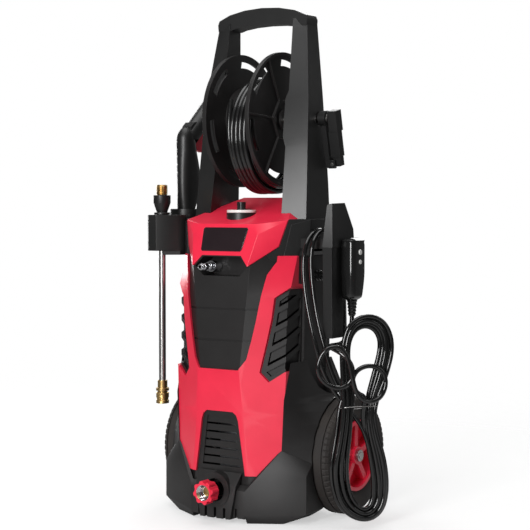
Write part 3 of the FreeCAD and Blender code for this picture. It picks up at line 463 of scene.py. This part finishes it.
def spline_length(piece):
    """Length of a curve piece's own smooth line, read from a bare copy of it."""
    bare = bpy.data.objects.new("bare line", piece.data.copy())
    bare.data.bevel_depth = 0.0
    bpy.context.scene.collection.objects.link(bare)
    line = bpy.data.meshes.new_from_object(bare.evaluated_get(bpy.context.evaluated_depsgraph_get()))
    spots = [v.co.copy() for v in line.vertices]
    bpy.data.meshes.remove(line)
    bpy.data.curves.remove(bare.data)
    return sum((b - a).length for a, b in zip(spots, spots[1:]))


RIB_HEIGHT = 0.0009


def ribbed_boot(name, foot, axis, length, wide, narrow, ribs):
    """Tapered strain relief with raised rings, from its wide foot to its narrow end."""
    rows = []
    steps = ribs * 4
    for i in range(steps + 1):
        share = i / steps
        radius = wide + (narrow - wide) * share
        rib = RIB_HEIGHT if i % 4 in (1, 2) else 0.0
        rows.append((length * share, radius + rib))
    return turned(name, foot, axis, rows, "sheath", "chassis", segments=40)


PLUG_LEVELS = 26
PLUG_CORNER_POINTS = 8
PLUG_CORNER_R = 0.0085
PLUG_TUCK = 0.0045                     # how far the ends are rounded in
PLUG_FOOT_ROUND, PLUG_HEAD_ROUND = 0.007, 0.005
# How much slimmer the foot is, and the share of the height where that ends.
PLUG_SLIM, PLUG_SLIM_END = 0.0035, 0.45
# Depth of the groove round its head, and the shares of the height that it lies between.
PLUG_SEAM, PLUG_SEAM_FROM, PLUG_SEAM_TO = 0.0006, 0.915, 0.95
PLUG_BOOT_TOP = Vector((0.200, -0.017, 0.3695))


def make_plug():
    """Plug housing with big soft corners, slimmer towards the cord."""
    low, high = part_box("plug_body")
    radius = PLUG_CORNER_R
    vertices = []
    for level in range(PLUG_LEVELS + 1):
        share = level / PLUG_LEVELS
        z = low.z + (high.z - low.z) * share
        end = min(z - low.z, high.z - z) / (PLUG_FOOT_ROUND if share < 0.5 else PLUG_HEAD_ROUND)
        tuck = PLUG_TUCK * (1 - math.sqrt(max(0.0, 1 - (1 - min(end, 1.0)) ** 2)))
        slim = PLUG_SLIM * max(0.0, 1 - share / PLUG_SLIM_END) ** 1.5
        seam = PLUG_SEAM if PLUG_SEAM_FROM < share < PLUG_SEAM_TO else 0.0
        inset = tuck + seam
        x0, x1 = low.x + inset, high.x - inset - slim
        y0, y1 = low.y + inset + slim, high.y - inset - slim
        middles = ((x1 - radius, y1 - radius), (x0 + radius, y1 - radius), (x0 + radius, y0 + radius),
                   (x1 - radius, y0 + radius))
        for quarter, (cx, cy) in enumerate(middles):
            for i in range(PLUG_CORNER_POINTS):
                turn = math.pi / 2 * (quarter + i / (PLUG_CORNER_POINTS - 1))
                vertices.append((cx + radius * math.cos(turn), cy + radius * math.sin(turn), z))
    ring = 4 * PLUG_CORNER_POINTS
    faces = []
    for level in range(PLUG_LEVELS):
        for i in range(ring):
            j = (i + 1) % ring
            a, b = level * ring, (level + 1) * ring
            faces.append([a + i, a + j, b + j, b + i])
    faces += [list(range(ring))[::-1], [PLUG_LEVELS * ring + i for i in range(ring)]]
    plug = mesh_piece("plug_housing", vertices, faces, "gloss", "chassis", sharp=50)
    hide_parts("plug_body")
    return plug


def make_cord():
    """Cord, its boot at the casing, its boot at the plug, and the pieces on its end."""
    cord = spline_piece("mains_cord", cord_points(), CORD_D / 2, "sheath", "chassis")
    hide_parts("cord_lead", "cord_hank", "cord_tail")
    boot = ribbed_boot("cord_boot", GLAND, "X", length=0.030, wide=0.0088, narrow=0.0050, ribs=6)
    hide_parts("cord_gland")
    relief = ribbed_boot("plug_boot", PLUG_BOOT_TOP, "Z", length=-0.0265, wide=0.0078, narrow=0.0052, ribs=5)
    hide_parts("plug_relief")
    plug = make_plug()
    prongs = refine("plug_prongs", "brass", 0.2 * MM)
    buttons = [refine(name, "white", 0.5 * MM) for name in ("test_button", "reset_button")]
    return cord, boot, relief, [plug, prongs] + buttons


TIE_STEPS, TIE_START = 14, 0.6         # steps round the waist, and the angle of the first
TIE_ACROSS, TIE_UP = -0.021, 0.196     # middle of the waist in the hank's plane
TIE_WIDE, TIE_TALL, TIE_DEEP = 0.0335, 0.004, 0.0145
TIE_END = ((-0.004, 0.203, 0.018), (0.004, 0.210, 0.020))
TIE_R = 0.0007


def make_tie():
    """Thin wire once round the hank's waist, with a loose end."""
    points = []
    for i in range(TIE_STEPS + 1):
        turn = 2 * math.pi * i / TIE_STEPS + TIE_START
        across = TIE_ACROSS + TIE_WIDE * math.cos(turn)
        up = TIE_UP + TIE_TALL * math.sin(turn)
        points.append(in_hank(across, up, TIE_DEEP * math.sin(turn)))
    points += [in_hank(*p) for p in TIE_END]
    spline_piece("hank_tie", points, TIE_R, "steel", "chassis", smooth=4, sides=2)


# ---------------------------------------------------------------- hose on the reel
HOSE_D = 0.0085
HOSE_LAYERS = (0.0885, 0.0980)
HOSE_TURNS = 5
POINTS_PER_TURN = 16
HOSE_WANDER = 0.0006
# The first stretch climbs from the drum to the first layer: steps, radii and angles in degrees.
CLIMB_STEPS, CLIMB_R, CLIMB_R_STEP = 8, 0.0635, 0.003
CLIMB_TURN, CLIMB_TURN_STEP, LAYER_TURN = 100, 22.5, 280
HOSE_END = ((-0.0145, -0.0605, 0.662), (-0.018, -0.047, 0.700))
# Stem and six-sided head of the hose's nut: (place along it, radius).
NUT_ROWS = [
    (0, 0.0050), (0.001, 0.0064), (0.025, 0.0064), (0.026, 0.0100), (0.028, 0.0110), (0.046, 0.0110),
    (0.048, 0.0098)]
NUT_SIX_SIDED_ROWS, NUT_SIDE_DEPTH = (4, 5), 0.0005


def hose_points():
    """Climb from the drum, two layers of turns that sag below it, and the hose's bare end."""
    low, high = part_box("hose_coil")
    axis = middle("reel_axle")
    centre = (low + high) / 2
    pitch = (high.x - low.x - HOSE_D) / (HOSE_TURNS - 0.5)
    rng = random.Random(4)
    points = []
    for step in range(CLIMB_STEPS):
        turn = math.radians(CLIMB_TURN + CLIMB_TURN_STEP * step)
        radius = CLIMB_R + CLIMB_R_STEP * step
        drop = (axis.z - centre.z) * step / CLIMB_STEPS
        points.append(Vector((low.x + HOSE_D / 2, axis.y + radius * math.sin(turn),
                              axis.z - drop + radius * math.cos(turn))))
    for layer, radius in enumerate(HOSE_LAYERS):
        for step in range(HOSE_TURNS * POINTS_PER_TURN):
            share = step / POINTS_PER_TURN
            turn = math.radians(LAYER_TURN) + 2 * math.pi * share
            along = min(pitch * share, pitch * (HOSE_TURNS - 0.5))
            x = low.x + HOSE_D / 2 + along if layer == 0 else high.x - HOSE_D / 2 - along
            r = radius + rng.uniform(-HOSE_WANDER, HOSE_WANDER)
            points.append(Vector((x, centre.y + r * math.sin(turn), centre.z + r * math.cos(turn))))
    return points + [Vector(p) for p in HOSE_END]


def make_hose():
    """Hose, its first point and its brass nut."""
    foot = middle("hose_fitting")
    low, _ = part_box("hose_fitting")
    points = hose_points()
    hose = spline_piece("hose", points, HOSE_D / 2, "hose", "reel", smooth=5)
    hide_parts("hose_coil")

    def six_sides(turn, row):
        return NUT_SIDE_DEPTH * math.cos(6 * turn) if row in NUT_SIX_SIDED_ROWS else 0.0

    start = Vector((foot.x, foot.y, low.z))
    nut = turned("hose_end_nut", start, "Z", NUT_ROWS, "brass", "reel", shape=six_sides)
    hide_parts("hose_fitting")
    return hose, points[0], nut


# ---------------------------------------------------------------- wheels
def tyre_loop(width, outer, inner):
    """Cross-section from one bead over the tread to the other, then back inside."""
    half = width / 2
    rim = [
        (-half + 0.004, inner), (-half + 0.001, inner + 0.006), (-half, inner + 0.016),
        (-half + 0.001, outer - 0.012), (-half + 0.0035, outer - 0.005)]
    tread = [
        (-half + 0.0075, outer - 0.0012), (-0.0105, outer), (-0.0100, outer - 0.0022),
        (-0.0080, outer - 0.0022), (-0.0075, outer)]
    right = [(-x, r) for x, r in reversed(rim + tread)]
    return rim + tread + right


SHOULDER_POINTS = {3, 4, 5, 14, 15, 16}    # places in the tyre's loop that the notches push in
NOTCHES, NOTCH_STEPS, NOTCH_DEPTH = 60, 5, 0.0020


def make_wheel(side):
    """Tyre with notched shoulders, and its hub."""
    low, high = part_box(f"tyre_{side}")
    hub_low, hub_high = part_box(f"wheel_hub_{side}")
    centre = (low + high) / 2
    outer = (high.z - low.z) / 2
    inner = (hub_high.z - hub_low.z) / 2
    loop = tyre_loop(high.x - low.x, outer, inner)

    def notches(step, k):
        return -NOTCH_DEPTH if k in SHOULDER_POINTS and step % NOTCH_STEPS == 0 else 0.0

    tyre = tube_ring(f"tyre_{side}_treaded", centre, "X", loop, "rubber", f"wheel_{side}",
                     segments=NOTCHES * NOTCH_STEPS, shape=notches, sharp=24)
    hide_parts(f"tyre_{side}")
    refine(f"wheel_hub_{side}", "red", 1.2 * MM)


# ---------------------------------------------------------------- brass and chrome turned pieces
THREAD_R, THREAD_PITCH, THREAD_DEPTH = 0.0100, 0.0018, 0.0009
THREAD_TAPER, THREAD_TAPER_LENGTH = 0.0010, 0.002
ROWS_PER_PITCH = 8


def make_thread():
    """Cut thread at the top of the lance."""
    low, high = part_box("lance_thread")
    centre = (low + high) / 2
    length = high.z - low.z
    rows = []
    count = int(length / THREAD_PITCH * ROWS_PER_PITCH)
    for i in range(count + 1):
        place = length * i / count
        full = min(1.0, place / THREAD_TAPER_LENGTH, (length - place) / THREAD_TAPER_LENGTH)
        rows.append((place, THREAD_R - THREAD_TAPER * (1 - full)))

    def ridge(turn, row):
        phase = (rows[row][0] / THREAD_PITCH - turn / (2 * math.pi)) % 1.0
        return -THREAD_DEPTH * abs(2 * phase - 1)

    thread = turned("lance_thread_cut", Vector((centre.x, centre.y, low.z)), "Z", rows, "brass", "lance",
                    segments=48, shape=ridge, sharp=60)
    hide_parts("lance_thread")


SLEEVE_INNER, SLEEVE_OUTER, SLEEVE_CHAMFER = 0.0086, 0.0113, 0.0008
SLEEVE_ROWS, SLEEVE_MARGIN = 24, 0.0012
SLEEVE_GROOVE_ROWS, SLEEVE_GROOVE_DEPTH = range(10, 16), 0.0010
KNURL_DEPTH = 0.0003


def make_sleeve():
    """Knurled collar of the nozzle coupler."""
    low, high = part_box("coupler_sleeve")
    centre = (low + high) / 2
    length = high.z - low.z
    rim = SLEEVE_OUTER - SLEEVE_CHAMFER
    loop = [(0, SLEEVE_INNER), (0, rim), (SLEEVE_CHAMFER, SLEEVE_OUTER)]
    for i in range(SLEEVE_ROWS + 1):
        place = SLEEVE_MARGIN + (length - 2 * SLEEVE_MARGIN) * i / SLEEVE_ROWS
        loop.append((place, SLEEVE_OUTER))
    loop += [(length - SLEEVE_CHAMFER, SLEEVE_OUTER), (length, rim), (length, SLEEVE_INNER)]

    def knurl(step, k):
        if not 3 < k < SLEEVE_ROWS + 2:
            return 0.0
        groove = -SLEEVE_GROOVE_DEPTH if k in SLEEVE_GROOVE_ROWS else 0.0
        return groove - KNURL_DEPTH * ((step + k) % 4 < 2) - KNURL_DEPTH * ((step - k) % 4 < 2)

    sleeve = tube_ring("coupler_sleeve_knurled", Vector((centre.x, centre.y, low.z)), "Z", loop, "brass",
                       "coupler_sleeve", segments=80, shape=knurl, sharp=40)
    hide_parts("coupler_sleeve")


LINING_OUTER, LINING_ROOT, LINING_CREST = 0.01295, 0.0127, 0.0005
LINING_FRONT, LINING_BACK = 0.0004, 0.0120     # its ends, from the mouth inwards
LINING_ROWS = 24


def make_inlet_lining():
    """Threaded metal lining in the mouth of the inlet nut."""
    low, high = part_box("inlet_nut")
    centre = (low + high) / 2
    loop = [(LINING_FRONT, LINING_OUTER), (LINING_BACK, LINING_OUTER)]
    for i in range(LINING_ROWS + 1):
        crest = LINING_CREST if i % 4 in (1, 2) else 0.0
        place = LINING_BACK - (LINING_BACK - LINING_FRONT) * i / LINING_ROWS
        loop.append((place, LINING_ROOT - crest))
    tube_ring("inlet_lining", Vector((centre.x, low.y, centre.z)), "Y", loop, "chrome", "inlet_nut",
              segments=64, sharp=20)


# ---------------------------------------------------------------- carried-over shapes
# Node and width of its rounded edges in millimetres, by look.
REFINED = {
    "red": {"front_shell": 1.6, "head_cover": 1.8, "gun_trigger": 0.8, "inlet_nut": 1.2},
    "panel": {"front_panel": 0.8, "lower_grille": 0.8, "side_vents": 0.7, "reel_flange_left": 0.7,
              "reel_flange_right": 0.7, "reel_drum": 0.8},
    "frame": {"upright_left": 2.5, "upright_right": 2.5, "handle_bar": 3.0, "shoulder_yokes": 1.2},
    "housing": {"rear_housing": 1.5, "base_skirt": 2.0, "reel_bushes": 0.4},
    "grip": {"crank_arm": 1.2, "crank_grip": 2.2, "lance_holder": 1.5, "gun_holster": 1.0,
             "gun_barrel_grip": 0.3, "gun_handle": 1.5, "cord_hook": 1.6, "switch_housing": 1.0,
             "switch_knob": 0.8, "lance_collar": 0.8},
    "badge": {"badge_plate": 0.8},
    "white": {"switch_dial": 0.8},
    "steel": {"reel_axle": 0.6, "crank_pin": 0.4, "wheel_axle": 0.8, "axle_clips": 0.5, "lance_tube": 0.3,
              "pressure_pipe": 0.0, "gun_trigger_pin": 0.3},
    "chrome": {"outlet_nipple": 0.3, "inlet_tube": 0.5},
    "brass": {"coupler_body": 0.5, "gun_valve": 0.8, "inlet_filter": 0.2},
    "cast": {"motor": 1.5, "pump": 1.5}}


def make_carried_over():
    for look, nodes in REFINED.items():
        for node, width in nodes.items():
            refine(node, look, width * MM)


# ---------------------------------------------------------------- putting it together
make_camera()
cord, cord_boot, plug_boot, plug_pieces = make_cord()
hose, hose_start, hose_nut = make_hose()
round(spline_length(cord), 3)
round(spline_length(hose), 3)
make_tie()
make_studio()
make_floor()
for side_name in ("left", "right"):
    make_wheel(side_name)
make_thread()
make_sleeve()
make_inlet_lining()
make_carried_over()
